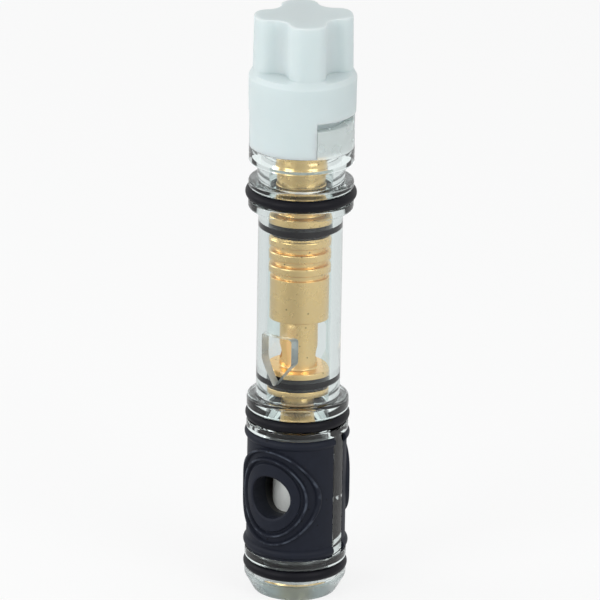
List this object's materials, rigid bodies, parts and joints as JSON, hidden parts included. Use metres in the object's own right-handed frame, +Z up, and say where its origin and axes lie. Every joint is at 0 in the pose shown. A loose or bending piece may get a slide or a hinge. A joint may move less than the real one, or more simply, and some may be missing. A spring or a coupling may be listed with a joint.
{
  "type": "faucet cartridge",
  "caption": "Pressure-balancing shower valve cartridge: clear casing, brass stem, rubber seals and port pads, and a fluted removal cap over the ears.",
  "frame": {"origin": "centre of the bottom face", "axes": "+Z up the stem, inlet ports along -Y and +Y, ears and ribs along -X and +X"},
  "size_m": [0.022, 0.022, 0.1206],
  "materials": {
    "clear_plastic": "gloss",
    "brass": "turned",
    "seal_rubber": "satin",
    "pad_rubber": "satin",
    "dark_plastic": "matte",
    "white_plastic": "matte",
    "steel": "satin",
    "cap_plastic": "frosted"
  },
  "bodies": {
    "housing": {"housing": "clear_plastic", "end_plug": "clear_plastic", "upper_o_ring": "seal_rubber", "middle_o_ring": "seal_rubber", "lower_o_ring": "seal_rubber", "cold_port_seal": "pad_rubber", "hot_port_seal": "pad_rubber", "thrust_washer": "white_plastic"},
    "stem": {"stem": "brass", "thrust_ring": "brass", "stem_upper_seal": "seal_rubber", "stem_lower_seal": "seal_rubber", "spool_sleeve": "dark_plastic", "drive_pin": "steel", "spool_end_cap": "brass", "spool_upper_seal": "seal_rubber", "spool_lower_seal": "seal_rubber", "piston_upper_stop": "white_plastic", "piston_lower_stop": "white_plastic"},
    "balance_piston": {"balance_piston": "steel"},
    "removal_cap": {"removal_cap": "cap_plastic"}
  },
  "joints": [
    {"name": "stem_turn", "type": "hinge", "parent": "housing", "child": "stem", "pos_m": [0, 0, 0], "axis": [0, 0, 1], "range_deg": [-135, 135]},
    {"name": "piston_slide", "type": "slide", "parent": "stem", "child": "balance_piston", "axis": [0, 0, 1], "range_m": [0, 0.0038]},
    {"name": "cap_lift", "type": "slide", "parent": "housing", "child": "removal_cap", "axis": [0, 0, 1], "range_m": [0, 0.035]}
  ]
}
